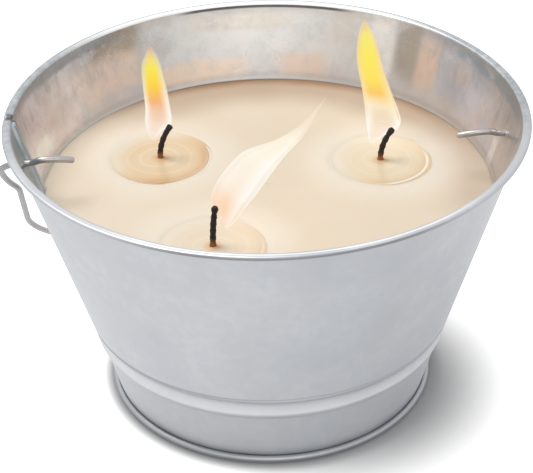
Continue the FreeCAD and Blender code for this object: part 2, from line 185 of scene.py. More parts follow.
def tube(name, line, across, radius, material, round_count, rounding, **keys):
    """A round bar along a line. Each ring is p + r (cos b n + sin b m), where n is the given
    across direction squared to the line's run and m is square to both. At each end the ring
    shrinks along a quarter ellipse to a small flat face."""
    line = np.asarray(line, dtype=float)
    size = np.broadcast_to(radius, (len(line),)).astype(float)
    run = np.gradient(line, axis=0)
    run /= np.linalg.norm(run, axis=1, keepdims=True)
    side = np.asarray(across, dtype=float) - run * (run @ np.asarray(across, dtype=float))[:, None]
    side /= np.linalg.norm(side, axis=1, keepdims=True)
    other = np.cross(run, side)
    bend = np.radians([0, 22.5, 45, 67.5, 90])
    push = rounding * (1 - np.cos(bend))
    grow = 1 - rounding + rounding * np.sin(bend)
    middle = slice(2, -2)
    centre = np.concatenate([line[0] + run[0] * size[0] * push[:, None], line[middle],
                             line[-1] - run[-1] * size[-1] * push[::-1, None]])
    scale = np.concatenate([size[0] * grow, size[middle], size[-1] * grow[::-1]])
    pick = np.concatenate([np.zeros(5, int), np.arange(len(line))[middle], np.full(5, len(line) - 1)])
    b = full_turn(round_count)[None, :, None]
    ring = side[pick][:, None, :] * np.cos(b) + other[pick][:, None, :] * np.sin(b)
    points = centre[:, None, :] + ring * scale[:, None, None]
    piece_from_arrays(name, points, grid_faces(len(centre), round_count, False, True),
                      material, caps=end_caps(len(centre), round_count), **keys)


def bail_line():
    """The bail's centre line at rest, from the left tip to the right one, worked out in its
    own plane (u along the pivots, w away from them) and then leaned back. Half of it is a
    chain of arcs: the inner end's arch, its wave to the hole, the bend outside the rim, the
    bow round the roll and its ease to the leg, the corner, and the crown."""
    bend, ease, bow_turn, corner_turn = 8.0, 30.0, 18.0, 71.5
    turn, sweep = math.radians(bow_turn), math.radians(corner_turn)
    side = math.sqrt((math.hypot(RIM, WALL_TOP - PIVOT_Z) + WIRE + ROLL_GAP) ** 2 - bend ** 2)
    behind, below = RING + STAND_OFF, PIVOT_Z - WIRE - FLOOR_GAP
    depth = math.hypot(behind, below)
    bow = side * 0.69
    bow_u = side - bow + bow * math.cos(turn)
    leg = bow_u - ease + ease * math.cos(turn)
    corner = depth * 0.373
    crown = (leg - corner + corner * math.cos(sweep)) / math.cos(sweep)
    leg_end = depth - crown + (crown - corner) * math.sin(sweep)
    start = WALL_FACE - (WALL_TOP - PIVOT_Z) * SLOPE - 1.2
    run, rise, end = 6.7, 3.0, 10.9
    wave = (run ** 2 + rise ** 2) / (rise * 4)
    swing = math.degrees(math.asin(run / 2 / wave))
    tail = (end ** 2 + rise ** 2) / (rise * 2)
    fall = math.degrees(math.asin(end / tail))
    apex = start - run
    half = np.concatenate([
        arc((apex, tail - rise), tail, -90 - fall, -90, 9),
        arc((apex, wave - rise), wave, -90, -90 + swing, 7)[1:],
        arc((start, -wave), wave, 90 + swing, 90, 7)[1:],
        np.array([[start + 1.2, 0.0], [side - bend, 0.0]]),
        arc((side - bend, bend), bend, -90, 0, 12)[1:],
        arc((side - bow, bend), bow, 0, bow_turn, 14)[1:],
        arc((leg + ease, bend + (bow + ease) * math.sin(turn)), ease, 180 + bow_turn, 180, 8)[1:],
        arc((leg - corner, leg_end), corner, 0, corner_turn, 34),
        arc((0, depth - crown), crown, corner_turn, 90, 24)[1:],
    ])
    flat = np.concatenate([half * [-1, 1], half[::-1][1:]])
    down, back = below / depth, behind / depth
    line = np.stack([flat[:, 0], flat[:, 1] * back, PIVOT_Z - flat[:, 1] * down], axis=1)
    return line, np.array([0.0, down, back])


# Materials

class Finish:
    """A material with its Principled shader, and short ways to add and join nodes."""

    def __init__(self, name, **sockets):
        self.material = bpy.data.materials.new(name)
        self.material.use_nodes = True
        self.tree = self.material.node_tree
        self.shader = self.tree.nodes["Principled BSDF"]
        for socket, value in sockets.items():
            self.shader.inputs[socket.replace("_", " ")].default_value = value
        self.place = self.tree.nodes.new("ShaderNodeTexCoord").outputs["Object"]

    def add(self, kind, inputs=None, **settings):
        """A new node, with its settings and its inputs given as values or as links."""
        node = self.tree.nodes.new(kind)
        for key, value in settings.items():
            setattr(node, key, value)
        for key, value in (inputs or {}).items():
            if isinstance(value, bpy.types.NodeSocket):
                self.tree.links.new(value, node.inputs[key])
            else:
                node.inputs[key].default_value = value
        return node

    def join(self, output, socket):
        """Leads an output to one of the shader's sockets."""
        self.tree.links.new(output, self.shader.inputs[socket])

    def noise(self, scale, detail=3.0, rough=0.5, stretch=None):
        """Noise over Object coordinates, from 0 to 1."""
        place = self.place
        if stretch:
            place = self.add("ShaderNodeMapping", {0: place, "Scale": stretch}).outputs[0]
        return self.add("ShaderNodeTexNoise", {
            "Vector": place, "Scale": scale, "Detail": detail, "Roughness": rough}).outputs[0]

    def math(self, operation, *values):
        """One sum on values or links."""
        return self.add("ShaderNodeMath", dict(enumerate(values)), operation=operation).outputs[0]

    def product(self, first, *others):
        """Values or links multiplied together."""
        for other in others:
            first = self.math("MULTIPLY", first, other)
        return first

    def off(self, value, middle):
        """How far a value is from a middle one, either way."""
        return self.math("ABSOLUTE", self.math("SUBTRACT", value, middle))

    def wander(self, noise, reach):
        """Noise centred on 0 and scaled."""
        return self.math("MULTIPLY", self.math("SUBTRACT", noise, 0.5), reach)

    def distance(self, point):
        """The distance from a point in metres."""
        return self.add("ShaderNodeVectorMath", {0: self.place, 1: point}, operation="DISTANCE").outputs["Value"]

    def ramp(self, factor, *stops):
        """A colour ramp whose stops are (place, colour) pairs."""
        node = self.add("ShaderNodeValToRGB", {0: factor})
        ramp = node.color_ramp
        while len(ramp.elements) < len(stops):
            ramp.elements.new(0.5)
        for element, (place, colour) in zip(ramp.elements, stops):
            element.position = place
            element.color = (*colour, 1)
        return node.outputs[0]

    def blend(self, factor, first, second):
        """Two colours mixed by a factor."""
        first, second = ((*colour, 1) if isinstance(colour, tuple) else colour for colour in (first, second))
        return self.add("ShaderNodeMix", {0: factor, 6: first, 7: second}, data_type="RGBA").outputs[2]

    def spread(self, value, low, high, to_low=0.0, to_high=1.0):
        """A value eased from low..high to to_low..to_high, and clamped to them."""
        return self.add("ShaderNodeMapRange", {
            "Value": value, "From Min": low, "From Max": high, "To Min": to_low, "To Max": to_high},
            clamp=True, interpolation_type="SMOOTHSTEP").outputs[0]

    def between(self, value, start, full, ease, end):
        """1 from full to ease, and down to 0 at start on one side and at end on the other."""
        return self.product(self.spread(value, start, full), self.spread(value, end, ease))

    def round_place(self):
        """The azimuth in degrees, and the radius and the level in metres, of a point."""
        x, y, level = self.add("ShaderNodeSeparateXYZ", {0: self.place}).outputs
        azimuth = self.math("DEGREES", self.math("ARCTAN2", y, x))
        radius = self.math("SQRT", self.math("ADD", self.math("POWER", x, 2), self.math("POWER", y, 2)))
        return azimuth, radius, level

    def bump(self, height, strength, distance):
        """Relief from a height."""
        node = self.add("ShaderNodeBump", {"Height": height, "Strength": strength, "Distance": distance})
        self.join(node.outputs[0], "Normal")


def shaded(colour, share):
    """A colour times a share, or times one share for each channel."""
    return tuple((np.array(colour) * share).tolist())


# The zinc outside, and the painted highlight and painted shade laid on it up the wall: the levels
# in millimetres where each starts, is full, begins to fade and ends, its strength and its colour.
ZINC = (0.590, 0.605, 0.630)
WALL_PAINTED_LIGHT = [
    (25.8, 28.4, 31.5, 35.0, 0.45, (0.80, 0.80, 0.81)),  # the band, a painted highlight
    (33.8, 35.6, 36.2, 37.2, 0.50, (0.28, 0.30, 0.32)),  # the crease, painted shade
    (-2.0, -1.0, 25.5, 27.5, 0.22, (0.38, 0.39, 0.40)),  # the foot, painted shade
    (-2.0, -1.0, 3.0, 8.5, 0.25, (0.20, 0.21, 0.22)),  # the foot just over its ring, painted shadow
    (-2.0, -1.0, 0.9, 2.6, 0.75, (0.10, 0.10, 0.11)),  # under the ring, painted contact shadow
]
# White for the rim's painted highlights.
PAINTED_HIGHLIGHT = (0.96, 0.96, 0.97)


def galvanised_outside():
    """Matt zinc-coated sheet: soft cloudy spangle, fine grain, a broken sheen, a painted highlight
    and painted shade up the wall, and a rim with painted highlights on its crown, painted shade at
    the sides and painted shade in its tuck and nick."""
    finish = Finish("galvanised_outside", Metallic=0.85)
    azimuth, radius, level = finish.round_place()
    cloud = finish.noise(38, 4, 0.55)
    fleck = finish.noise(240, 3, 0.6)
    grey = finish.ramp(cloud, (0.30, shaded(ZINC, 0.91)), (0.70, shaded(ZINC, 1.09)))
    grey = finish.blend(finish.spread(fleck, 0.35, 0.65, 0, 0.35), grey, shaded(ZINC, 0.90))
    drift = finish.spread(finish.noise(13, 5, 0.6), 0.45, 0.62, 0, 0.30)
    grey = finish.blend(drift, grey, shaded(ZINC, (0.80, 0.83, 0.87)))
    # Painted highlight on the band, and painted shade in the crease and down the foot to the ring.
    for start, full, ease, end, strength, colour in WALL_PAINTED_LIGHT:
        share = finish.between(level, start * MM, full * MM, ease * MM, end * MM)
        grey = finish.blend(finish.product(share, strength), grey, colour)
    # The rim: front and back are told by how far the azimuth is from the front's.
    turn = finish.off(azimuth, -90.0)
    back = finish.between(turn, 120, 150, 210, 240)
    # Painted highlight: the crown of the roll whitened at the front.
    crown = finish.product(finish.between(radius, 0.0976, 0.0980, 0.0985, 0.0988),
                           finish.spread(level, 0.1170, 0.1176), finish.spread(turn, 70, 35, 0.15, 1.0))
    grey = finish.blend(finish.product(crown, 0.75), grey, PAINTED_HIGHLIGHT)
    # Painted shade: the roll darkened and mottled at the sides, less at the back.
    roll = finish.product(finish.spread(level, 0.1160, 0.1166), finish.spread(turn, 50, 80),
                          finish.math("SUBTRACT", 1.0, finish.product(back, 0.7)),
                          finish.spread(finish.noise(320, 4, 0.7), 0.40, 0.62, 0.35, 0.75))
    grey = finish.blend(roll, grey, (0.30, 0.33, 0.35))
    # Painted highlight: the top of the roll whitened at the back.
    shine = finish.product(finish.spread(radius, 0.0988, 0.0982), finish.spread(level, 0.1166, 0.1172), back)
    grey = finish.blend(finish.product(shine, 0.80), grey, PAINTED_HIGHLIGHT)
    # Painted shade: the bead greyed on either side of the front.
    bead_shade = finish.product(finish.spread(level, 0.1155, 0.1162), finish.spread(turn, 25, 50),
                          finish.spread(turn, 88, 70, 0, 0.8))
    grey = finish.blend(bead_shade, grey, (0.55, 0.56, 0.58))
    # Painted shade: a dark line in the tuck under the roll, mostly at the front, and a dark spot in the nick.
    tuck = finish.product(finish.between(level, 0.1166, 0.1170, 0.1176, 0.1179),
                          finish.spread(radius, 0.0993, 0.0995), finish.spread(turn, 45, 18, 0.05, 0.70))
    nick = finish.product(finish.spread(finish.off(azimuth, NICK), 1.9, 0.9),
                          finish.spread(radius, 0.0996, 0.0985), finish.spread(level, 0.1158, 0.1162))
    dark = finish.product(finish.math("MAXIMUM", tuck, nick), 0.85)
    grey = finish.blend(dark, grey, (0.07, 0.07, 0.075))
    finish.join(grey, "Base Color")
    finish.join(finish.spread(cloud, 0.3, 0.7, 0.38, 0.50), "Roughness")
    finish.bump(finish.math("ADD", finish.product(fleck, 0.35), cloud), 0.22, 0.0004)
    return finish.material


# Patches inside the wall: azimuth and half width in degrees, level and half height in
# millimetres, colour, and how strongly it shows. The small white ones at 164 and 3 degrees are
# painted reflections.
PATCHES = [
    (85, 34, 104, 17, (0.73, 0.72, 0.70), 0.85), (91, 13.5, 111, 3.8, (0.66, 0.57, 0.46), 0.55),
    (104, 13, 92, 4.8, (0.84, 0.67, 0.53), 0.75), (74.5, 6.5, 92.5, 5.6, (0.78, 0.60, 0.47), 0.65),
    (64.5, 3.0, 110, 6.5, (0.66, 0.57, 0.47), 0.42), (53.5, 4.0, 105, 16, (0.92, 0.89, 0.85), 0.75),
    (45.4, 3.8, 106, 12, (0.40, 0.34, 0.27), 0.78), (38.8, 3.4, 104, 10, (0.76, 0.56, 0.42), 0.72),
    (25, 9, 106, 12, (0.45, 0.49, 0.58), 0.78), (27, 4, 107, 5, (0.70, 0.56, 0.46), 0.45),
    (12, 12, 97, 10, (0.73, 0.74, 0.86), 0.80), (127, 8.5, 112.5, 6.2, (0.33, 0.27, 0.20), 0.80),
    (131, 12, 101, 8, (0.84, 0.67, 0.56), 0.62), (137, 11, 116, 2.6, (0.20, 0.21, 0.24), 0.60),
    (150, 10, 99, 11, (0.92, 0.83, 0.82), 0.60), (167, 10, 102, 17, (0.90, 0.85, 0.93), 0.80),
    (10, 22, 115.5, 3.6, (0.26, 0.32, 0.38), 0.75), (150, 18, 117, 3.4, (0.28, 0.31, 0.35), 0.60),
    # The patch at 164 degrees and the streak at 3 degrees are painted reflections.
    (184, 6.5, 103, 22, (0.24, 0.34, 0.40), 0.95), (164, 5.0, 94.5, 3.6, (0.93, 1.0, 1.0), 0.80),
    (3, 1.7, 92, 7, (1.0, 1.0, 1.0), 0.90), (-60, 70, 100, 30, (0.60, 0.60, 0.61), 0.40),
]


def galvanised_inside():
    """The wall's bright inner face: warm, pale, cool, smoky and dull patches, two small white ones
    among them painted reflections, fine upright streaks and a crossed ripple in the dull ones, a
    painted shade line at the back under the roll, a faint band of painted shade just over the wax,
    and a clean cool line over the wax."""
    finish = Finish("galvanised_inside", Metallic=0.92)
    azimuth, _, level = finish.round_place()
    cloud = finish.noise(30, 4, 0.6)
    grey = finish.ramp(cloud, (0.30, (0.54, 0.51, 0.50)), (0.70, (0.66, 0.64, 0.635)))
    stray = finish.wander(finish.noise(95, 5, 0.7), 1.3)
    for azimuth_middle, wide, level_middle, tall, colour, strength in PATCHES:
        turn = finish.math("WRAP", finish.math("SUBTRACT", azimuth, float(azimuth_middle)), 180.0, -180.0)
        across = finish.math("DIVIDE", finish.math("ABSOLUTE", turn), float(wide))
        rise = finish.math("DIVIDE", finish.off(level, level_middle * MM), tall * MM)
        # The fourth powers give the patch a rounded oblong outline.
        away = finish.math("ADD", finish.math("POWER", across, 4.0), finish.math("POWER", rise, 4.0))
        away = finish.math("ADD", finish.math("POWER", away, 0.25), stray)
        grey = finish.blend(finish.spread(away, 1.32, 0.58, 0, strength), grey, colour)
    warm = finish.spread(finish.noise(24, 5, 0.65), 0.52, 0.70, 0, 0.35)
    grey = finish.blend(finish.product(warm, finish.spread(level, 0.112, 0.100)), grey, (0.85, 0.63, 0.47))
    fleck = finish.spread(finish.noise(170, 4, 0.65), 0.42, 0.70, 0, 0.22)
    grey = finish.blend(fleck, grey, (0.44, 0.45, 0.48))
    smoke = finish.spread(finish.noise(55, 6, 0.7), 0.50, 0.66, 0, 0.22)
    grey = finish.blend(finish.product(smoke, finish.spread(level, 0.092, 0.104)), grey, (0.34, 0.36, 0.40))
    glint = finish.spread(finish.noise(72, 6, 0.75, (1, 1, 1.6)), 0.52, 0.66, 0, 0.30)
    grey = finish.blend(finish.product(glint, finish.spread(level, 0.104, 0.113)), grey, (0.86, 0.89, 0.94))
    dull = finish.math("MAXIMUM", finish.spread(azimuth, 46.0, 36.0), finish.spread(azimuth, 122.0, 130.0))
    top = finish.product(finish.spread(level, 0.1135, 0.1165, 0, 0.55), dull)
    grey = finish.blend(top, grey, (0.40, 0.43, 0.46))
    # Painted shade: a dark line under the roll at the back.
    shade = finish.product(finish.spread(level, 0.1157, 0.1163, 0, 0.85), finish.between(azimuth, 60, 68, 102, 109))
    grey = finish.blend(shade, grey, (0.05, 0.05, 0.055))
    streak = finish.spread(finish.noise(230, 4, 0.65, (1, 1, 0.2)), 0.48, 0.66, 0, 0.32)
    streak = finish.product(streak, dull, finish.spread(level, 0.095, 0.104))
    grey = finish.blend(streak, grey, (0.34, 0.35, 0.38))
    # Painted shade: a faint band on the wall just over the wax.
    wax_line_shade = finish.product(finish.between(level, 0.0874, 0.0880, 0.0886, 0.0905), 0.20)
    grey = finish.blend(wax_line_shade, grey, (0.34, 0.33, 0.32))
    grey = finish.blend(finish.spread(level, 0.0880, 0.0874, 0, 0.80), grey, (0.62, 0.65, 0.67))
    round_wave, level_wave = finish.product(azimuth, 4.7), finish.product(level, 3700)
    near = finish.math("MAXIMUM", finish.spread(finish.off(azimuth, 44.0), 9.0, 4.0),
                       finish.spread(finish.off(azimuth, 130.0), 14.0, 8.0))
    ripple = finish.product(finish.math("SINE", finish.math("ADD", round_wave, level_wave)),
                            finish.math("SINE", finish.math("SUBTRACT", round_wave, level_wave)),
                            finish.spread(level, 0.105, 0.112), near, finish.spread(cloud, 0.36, 0.55))
    grey = finish.blend(finish.spread(ripple, 0.02, 0.6, 0, 0.30), grey, (0.24, 0.24, 0.25))
    finish.join(grey, "Base Color")
    finish.join(finish.spread(cloud, 0.3, 0.7, 0.26, 0.42), "Roughness")
    finish.bump(finish.math("ADD", finish.product(ripple, 0.25), cloud), 0.20, 0.0004)
    return finish.material


def seam_finish():
    """The folded seam: cool blue-grey zinc with dark lines in its folds and a dark spot at
    the top of its far edge."""
    finish = Finish("galvanised_seam", Metallic=0.88)
    azimuth, _, level = finish.round_place()
    grain = finish.noise(120, 4, 0.6, (1, 1, 0.25))
    grey = finish.ramp(grain, (0.3, (0.34, 0.42, 0.50)), (0.7, (0.66, 0.77, 0.88)))
    for fold, half, strength in ((175.0, 0.28, 0.9), (176.6, 0.16, 0.45), (177.4, 0.22, 0.75)):
        share = finish.spread(finish.off(azimuth, fold), half, half * 0.3, 0, strength)
        grey = finish.blend(share, grey, (0.05, 0.06, 0.07))
    spot = finish.product(finish.spread(level, 0.1120, 0.1150, 0, 0.8), finish.spread(azimuth, 176.0, 175.3))
    grey = finish.blend(spot, grey, (0.04, 0.04, 0.045))
    finish.join(grey, "Base Color")
    finish.join(finish.spread(finish.noise(90), 0.3, 0.7, 0.30, 0.45), "Roughness")
    finish.bump(finish.noise(260, 3, 0.6), 0.2, 0.0003)
    return finish.material


def drawn_wire():
    """Dull drawn steel wire, brighter and warmer, a painted reflection, wherever it lies within about 93 mm of the
    middle along X, which takes in its ends inside the wall.
    """
    finish = Finish("drawn_wire", Metallic=0.9)
    mark = finish.noise(180, 4, 0.6)
    grey = finish.ramp(mark, (0.3, (0.27, 0.27, 0.27)), (0.7, (0.37, 0.37, 0.365)))
    across = finish.math("ABSOLUTE", finish.add("ShaderNodeSeparateXYZ", {0: finish.place}).outputs[0])
    # Painted reflection: the wire lighter and warmer inside the wall's reach.
    reflected_tone = finish.ramp(mark, (0.3, (0.36, 0.34, 0.33)), (0.7, (0.50, 0.475, 0.46)))
    grey = finish.blend(finish.spread(across, 0.0955, 0.0925), grey, reflected_tone)
    grey = finish.blend(finish.spread(across, 0.0755, 0.0735, 0, 0.6), grey, (0.42, 0.47, 0.48))
    finish.join(grey, "Base Color")
    finish.join(finish.spread(mark, 0.3, 0.7, 0.26, 0.44), "Roughness")
    finish.bump(finish.noise(700, 2, 0.5), 0.15, 0.0002)
    return finish.material


def poured_wax():
    """Cream wax: a faint cloud, a paler softened halo round each pool, and a darker, browner rim at
    the back and on the right that is painted shade."""
    finish = Finish("poured_wax", Subsurface_Weight=0.25, Subsurface_Scale=0.006, IOR=1.44)
    finish.shader.inputs["Subsurface Radius"].default_value = (1.0, 0.6, 0.35)
    azimuth, radius, _ = finish.round_place()
    cloud = finish.noise(16, 3, 0.5)
    colour = finish.ramp(cloud, (0.3, (0.80, 0.675, 0.52)), (0.7, (0.85, 0.735, 0.59)))
    stray = finish.wander(finish.noise(22, 2, 0.5), 0.012)
    reach = finish.math("ADD", radius, stray)
    # Painted shade: the wax darkened and browned toward the wall at the back and on the right.
    rim = finish.math("ADD", finish.spread(reach, 0.058, 0.080, 0, 0.55), finish.spread(reach, 0.079, 0.087, 0, 0.40))
    back = finish.product(finish.spread(finish.off(azimuth, 72.0), 85, 30), rim)
    colour = finish.blend(back, colour, (0.33, 0.18, 0.095))
    right = finish.product(finish.spread(finish.off(azimuth, 4.0), 40, 15), finish.spread(reach, 0.058, 0.084, 0, 0.60))
    colour = finish.blend(right, colour, (0.52, 0.39, 0.28))
    for side in WICKS:
        away = finish.math("ADD", finish.distance(wick_base(side)), finish.product(stray, 0.4))
        colour = finish.blend(finish.spread(away, 0.038, 0.021, 0, 0.6), colour, (0.90, 0.82, 0.70))
    finish.join(colour, "Base Color")
    finish.join(finish.spread(cloud, 0.3, 0.7, 0.40, 0.52), "Roughness")
    finish.bump(finish.noise(45, 3, 0.5), 0.10, 0.0006)
    return finish.material


# Molten wax round each wick: its colour in the middle, at its rim, and on its warmer side,
# and how bright the painted highlight is that its rim draws on that side.
MELT = {
    "left": ((0.80, 0.62, 0.40), (0.78, 0.57, 0.33), (0.62, 0.36, 0.16), 0.15),
    "front": ((0.83, 0.70, 0.53), (0.81, 0.67, 0.49), (0.74, 0.56, 0.37), 0.30),
    "right": ((0.84, 0.70, 0.50), (0.81, 0.66, 0.45), (0.70, 0.50, 0.29), 0.75),
}


def molten_wax(side):
    """Wet wax: cloudy rings in the middle, clear amber toward its rim, deepest on one side,
    and fading into the set wax on the other, with a painted highlight along its rim on the deep side."""
    finish = Finish("molten_wax_" + side, Coat_Weight=0.4, Coat_Roughness=0.08, Roughness=0.32, IOR=1.44)
    middle, rim, warm, line = MELT[side]
    base = wick_base(side)
    away = finish.distance(base)
    far = finish.math("ADD", away, finish.wander(finish.noise(60, 2, 0.5), 0.005))
    colour = finish.blend(finish.spread(far, 0.006, 0.0195), middle, rim)
    for reach, half, strength in ((0.0072, 0.0012, 0.30), (0.0125, 0.0010, 0.22)):
        ring = finish.spread(finish.off(far, reach), half, half * 0.1, 0, strength)
        colour = finish.blend(ring, colour, (0.90, 0.80, 0.63))
    # How far a point lies to the front and right of the wick.
    x, y, _ = finish.add("ShaderNodeSeparateXYZ", {0: finish.place}).outputs
    over = finish.math("SUBTRACT", finish.math("SUBTRACT", x, base[0]), finish.math("SUBTRACT", y, base[1]))
    cold = finish.product(finish.spread(over, 0.004, -0.016), finish.spread(far, 0.0100, 0.0185), 0.85)
    colour = finish.blend(cold, colour, (0.86, 0.76, 0.62))
    amber = finish.product(finish.spread(over, 0.000, 0.020), finish.spread(far, 0.0140, 0.0195), 0.85)
    colour = finish.blend(amber, colour, warm)
    # Painted highlight: a thin pale line along the rim on the pool's front-right side.
    bright = finish.product(finish.spread(over, 0.010, 0.022),
                            finish.spread(finish.off(away, 0.0186), 0.0007, 0.0002, 0, line))
    colour = finish.blend(bright, colour, (1.0, 0.98, 0.92))
    colour = finish.blend(finish.spread(away, 0.0048, 0.0018, 0, 0.6), colour, (0.72, 0.40, 0.17))
    finish.join(colour, "Base Color")
    return finish.material


def charred_wick():
    """Black crumbling char with a brown wax-soaked foot."""
    finish = Finish("charred_wick", Roughness=0.85)
    level = finish.round_place()[2]
    char = finish.ramp(finish.noise(900, 4, 0.7), (0.35, (0.006, 0.005, 0.004)), (0.75, (0.035, 0.026, 0.02)))
    foot = finish.spread(finish.math("ADD", level, finish.product(finish.noise(500), 0.002)), 0.0915, 0.0880)
    finish.join(finish.blend(foot, char, (0.34, 0.12, 0.03)), "Base Color")
    finish.bump(finish.noise(1500, 3, 0.6), 0.8, 0.0004)
    return finish.material


def plain_finish(name, colour, roughness, metallic=0.0):
    """A hidden fitting's finish: its colour a little clouded."""
    finish = Finish(name, Metallic=metallic, Roughness=roughness)
    cloud = finish.noise(200, 3, 0.5)
    finish.join(finish.ramp(cloud, (0.3, shaded(colour, 0.85)), (0.7, colour)), "Base Color")
    return finish.material


def flame_finish(name):
    """Burning gas: it shines with its own point colours and lets what is behind show through."""
    finish = Finish(name)
    finish.tree.nodes.remove(finish.shader)
    tint = finish.add("ShaderNodeVertexColor", layer_name="burn").outputs
    glow = finish.add("ShaderNodeEmission", {"Color": tint["Color"], "Strength": 1.0}).outputs[0]
    clear = finish.add("ShaderNodeBsdfTransparent").outputs[0]
    both = finish.add("ShaderNodeMixShader", {0: tint["Alpha"], 1: clear, 2: glow}).outputs[0]
    finish.tree.links.new(both, finish.tree.nodes["Material Output"].inputs["Surface"])
    return finish.material


# Pieces

OUTSIDE = galvanised_outside()
INSIDE = galvanised_inside()
SEAM = seam_finish()
WIRE_FINISH = drawn_wire()
WAX_FINISH = poured_wax()
CHAR = charred_wick()


def cut_pivot_holes(piece):
    """Cuts both round holes with one long bar along X, and keeps the cut mesh."""
    cutter_mesh = bpy.data.meshes.new("pivot_bar")
    bar = bmesh.new()
    turn = Matrix.Translation((0, 0, PIVOT_Z * MM)) @ Matrix.Rotation(math.pi / 2, 4, "Y")
    bmesh.ops.create_cone(bar, cap_ends=True, segments=40, radius1=HOLE * MM, radius2=HOLE * MM,
                          depth=RIM * 2.4 * MM, matrix=turn)
    bar.to_mesh(cutter_mesh)
    bar.free()
    cutter = put("pivot_bar", cutter_mesh)
    cut = piece.modifiers.new("pivot_holes", "BOOLEAN")
    cut.operation, cut.solver, cut.object = "DIFFERENCE", "EXACT", cutter
    bpy.context.view_layer.update()
    result = bpy.data.meshes.new_from_object(piece.evaluated_get(bpy.context.evaluated_depsgraph_get()))
    piece.modifiers.clear()
    piece.data = result
    bpy.data.objects.remove(cutter)


def nick_rim(piece):
    """The nick over the seam: there the rim's roll sinks by the nick's depth times a bell
    curve of the azimuth, and what lies under the roll stays."""
    depth, half_width, start, ease = 0.5 * MM, 0.8, 114.5 * MM, 1.5 * MM
    points = np.empty(len(piece.data.vertices) * 3)
    piece.data.vertices.foreach_get("co", points)
    points = points.reshape(-1, 3)
    off = (np.degrees(np.arctan2(points[:, 1], points[:, 0])) - NICK + 180) % 360 - 180
    sink = np.exp(-(off / half_width) ** 2) * np.clip((points[:, 2] - start) / ease, 0, 1)
    points[:, 2] -= depth * sink
    piece.data.vertices.foreach_set("co", points.ravel())
    piece.data.update()


def bucket_wall():
    """The wall, with its outer and inner faces in their own finishes. The rim's roll keeps
    the outer one."""
    near = np.radians(np.arange(NICK - 3.4, NICK + 3.5, 0.2))
    around = full_turn(400)
    around = np.sort(np.concatenate([around[np.abs(around - np.radians(NICK)) > np.radians(3.8)], near]))
    piece = lathe("wall_sheet", wall_outline(), around, OUTSIDE, slot="galvanised_steel", nodes=("bucket_wall",))
    nick_rim(piece)
    cut_pivot_holes(piece)
    mesh = piece.data
    mesh.materials.append(INSIDE)
    count = len(mesh.polygons)
    centre, normal = np.empty(count * 3), np.empty(count * 3)
    mesh.polygons.foreach_get("center", centre)
    mesh.polygons.foreach_get("normal", normal)
    centre, normal = centre.reshape(-1, 3), normal.reshape(-1, 3)
    inward = (centre[:, :2] * normal[:, :2]).sum(axis=1) < 0
    inward &= centre[:, 2] < (WALL_TOP - 0.05) * MM
    inward &= np.hypot(centre[:, 0], centre[:, 1]) < (WALL_FACE - 0.2) * MM
    mesh.polygons.foreach_set("material_index", inward.astype(np.int32))
    mesh.polygons.foreach_set("use_smooth", np.ones(count, dtype=bool))
    mesh.set_sharp_from_angle(angle=math.radians(50))


def lock_seam():
    """The folded seam inside: over its width a, the wall's inner radius less a height that
    steps up at one edge, dips along a fold line and slopes off at the other edge."""
    a = np.linspace(0, 1, 41)
    level = np.concatenate([np.linspace(WALL_TOP - 0.3, 86.0, 40), np.linspace(84, 5, 40)])
    step = 1 / (1 + np.exp(-(a - 0.05) * 90))
    slope = 1 / (1 + np.exp((a - 0.90) * 45))
    fold = 0.45 * np.exp(-((a - 0.62) / 0.035) ** 2) + 0.25 * np.exp(-((a - 0.36) / 0.03) ** 2)
    height = SEAM_RISE * step * slope * (1 - fold)
    angle = np.radians(SEAM_MIDDLE - SEAM_SPAN / 2 + SEAM_SPAN * a)
    front = wall_radius(level)[:, None] - SHEET - height[None, :]
    back = np.broadcast_to(wall_radius(level)[:, None] - SHEET * 0.6, front.shape)
    radius = np.concatenate([front, back[:, ::-1]], axis=1)
    around = np.concatenate([angle, angle[::-1]])
    x, y = radius * np.cos(around), radius * np.sin(around)
    z = np.broadcast_to(level[:, None], x.shape)
    points = np.stack([x, y, z], axis=-1)
    columns = radius.shape[1]
    faces = grid_faces(len(level), columns, False, True)
    piece = piece_from_arrays("lock_seam", points, faces, SEAM, slot="galvanised_steel",
                              nodes=("bucket_wall",), caps=end_caps(len(level), columns))
    piece.data.set_sharp_from_angle(angle=math.radians(60))


def bucket_bottom():
    """The recessed bottom with its edge folded under and round the wall's foot."""
    half = RING_Z / 2
    edge = RING - half
    stand = FOOT - 1.57
    outline = np.concatenate([
        [[0.02, DISC_Z + SHEET], [0.02, DISC_Z]],
        arc((stand - 1.1, DISC_Z - 0.6), 0.6, 90, 0, 6),
        arc((stand - 0.1, 0.4), 0.4, 180, 270, 5),
        arc((edge, half), half, -90, 90, 16),
        [[FOOT + 0.12, RING_Z], [FOOT + 0.12, RING_Z - SHEET]],
        arc((edge, half), half - SHEET, 90, -90, 8),
        [[stand, SHEET]], arc((stand - 0.5, DISC_Z), 0.5, 0, 90, 5),
    ])
    lathe("bottom_pan", outline, full_turn(320), OUTSIDE, slot="galvanised_steel",
          nodes=("bucket_bottom",))


def bail():
    """The wire bail, one round bar from end to end."""
    line, across = bail_line()
    tube("bail_wire", line, across, WIRE, WIRE_FINISH, round_count=24, rounding=0.6, body="bail",
         slot="steel_wire", nodes=("bail_handle",))


def wax_level(x, y):
    """The wax's top: level and faintly waved, with a dish at each wick, d from it, that falls
    as its depth times 1 - (d / radius)^2, a soft raised lip round each dish, and an edge
    that sinks by 0.5 mm at the wall as the square of its last 9 mm."""
    level = np.full(x.shape, WAX_Z)
    for side in WICKS:
        foot = wick_foot(side)
        d = np.hypot(x - foot[0], y - foot[1])
        level -= POOL_DEPTH * np.clip(1 - (d / POOL) ** 2, 0, 1)
        level += 0.14 * np.exp(-((d - POOL - 1.6) / 2.2) ** 2)
    edge = np.hypot(x, y)
    level -= 0.5 * np.clip((edge - 78) / 9, 0, 1) ** 2
    level += 0.12 * np.sin(x / 23 + 1.0) * np.cos(y / 19)
    return level


